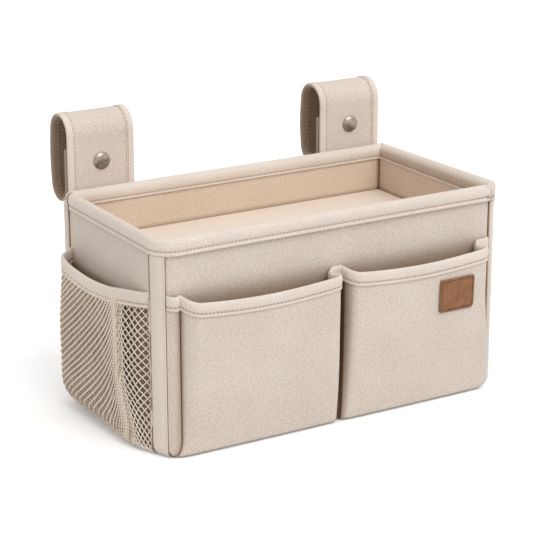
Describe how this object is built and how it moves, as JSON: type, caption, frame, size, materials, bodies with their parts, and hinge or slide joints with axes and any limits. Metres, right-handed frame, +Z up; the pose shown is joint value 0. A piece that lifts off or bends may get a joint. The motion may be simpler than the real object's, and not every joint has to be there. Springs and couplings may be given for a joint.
{
  "type": "bedside caddy",
  "caption": "Fabric bedside caddy with a raised tray floor, front pockets, a net side pocket and snap-fastened hanging straps.",
  "frame": {"origin": "middle of the box's underside, on the surface it stands on", "axes": "+X to the right along the front, +Y from the front pockets to the hanging straps, +Z up"},
  "size_m": [0.3373, 0.2242, 0.25],
  "materials": {
    "outer_fabric": "fine cross-grained cream fabric",
    "binding_tape": "smooth pale folded tape",
    "lining_fabric": "tan diagonal-grained lining",
    "floor_fabric": "smooth pale cover",
    "net_cord": "cream knotted net",
    "leather": "smooth mid-brown leather",
    "board": "grey board",
    "antique_nickel": "antique nickel"
  },
  "bodies": {
    "caddy": {"front_panel": "outer_fabric", "back_panel": "outer_fabric", "left_panel": "outer_fabric", "right_panel": "outer_fabric", "base_panel": "outer_fabric", "front_pocket_left": "outer_fabric", "front_pocket_right": "outer_fabric", "front_lining": "lining_fabric", "back_lining": "lining_fabric", "left_lining": "lining_fabric", "right_lining": "lining_fabric", "base_lining": "lining_fabric", "front_board": "board", "back_board": "board", "left_board": "board", "right_board": "board", "base_board": "board", "riser_front": "board", "riser_back": "board", "riser_left": "board", "riser_right": "board", "rim_binding_front": "binding_tape", "rim_binding_right": "binding_tape", "rim_binding_back": "binding_tape", "corner_binding_front_left": "binding_tape", "corner_binding_front_right": "binding_tape", "corner_binding_back_left": "binding_tape", "corner_binding_back_right": "binding_tape", "front_pocket_binding_left": "binding_tape", "front_pocket_binding_right": "binding_tape", "mesh_pocket_binding": "binding_tape", "mesh_pocket_net": "net_cord", "leather_patch": "leather", "left_strap_leg": "outer_fabric", "left_strap_leg_tape_left": "binding_tape", "left_strap_leg_tape_right": "binding_tape", "left_strap_snap_cap": "antique_nickel", "left_strap_snap_socket": "antique_nickel", "right_strap_leg": "outer_fabric", "right_strap_leg_tape_left": "binding_tape", "right_strap_leg_tape_right": "binding_tape", "right_strap_snap_cap": "antique_nickel", "right_strap_snap_socket": "antique_nickel"},
    "raised_floor": {"floor_cover": "floor_fabric", "floor_board": "board"},
    "left_strap_tail": {"left_strap_tail": "outer_fabric", "left_strap_tail_tape_left": "binding_tape", "left_strap_tail_tape_right": "binding_tape", "left_strap_snap_stud": "antique_nickel", "left_strap_snap_post": "antique_nickel"},
    "right_strap_tail": {"right_strap_tail": "outer_fabric", "right_strap_tail_tape_left": "binding_tape", "right_strap_tail_tape_right": "binding_tape", "right_strap_snap_stud": "antique_nickel", "right_strap_snap_post": "antique_nickel"}
  },
  "joints": [
    {"name": "raised_floor_lift", "type": "slide", "parent": "caddy", "child": "raised_floor", "axis": [0, 0, 1], "range_m": [0, 0.1]},
    {"name": "left_strap_open", "type": "hinge", "parent": "caddy", "child": "left_strap_tail", "pos_m": [-0.125, 0.10205, 0.25], "axis": [1, 0, 0], "range_deg": [0, 100]},
    {"name": "right_strap_open", "type": "hinge", "parent": "caddy", "child": "right_strap_tail", "pos_m": [0.125, 0.10205, 0.25], "axis": [1, 0, 0], "range_deg": [0, 100]}
  ]
}
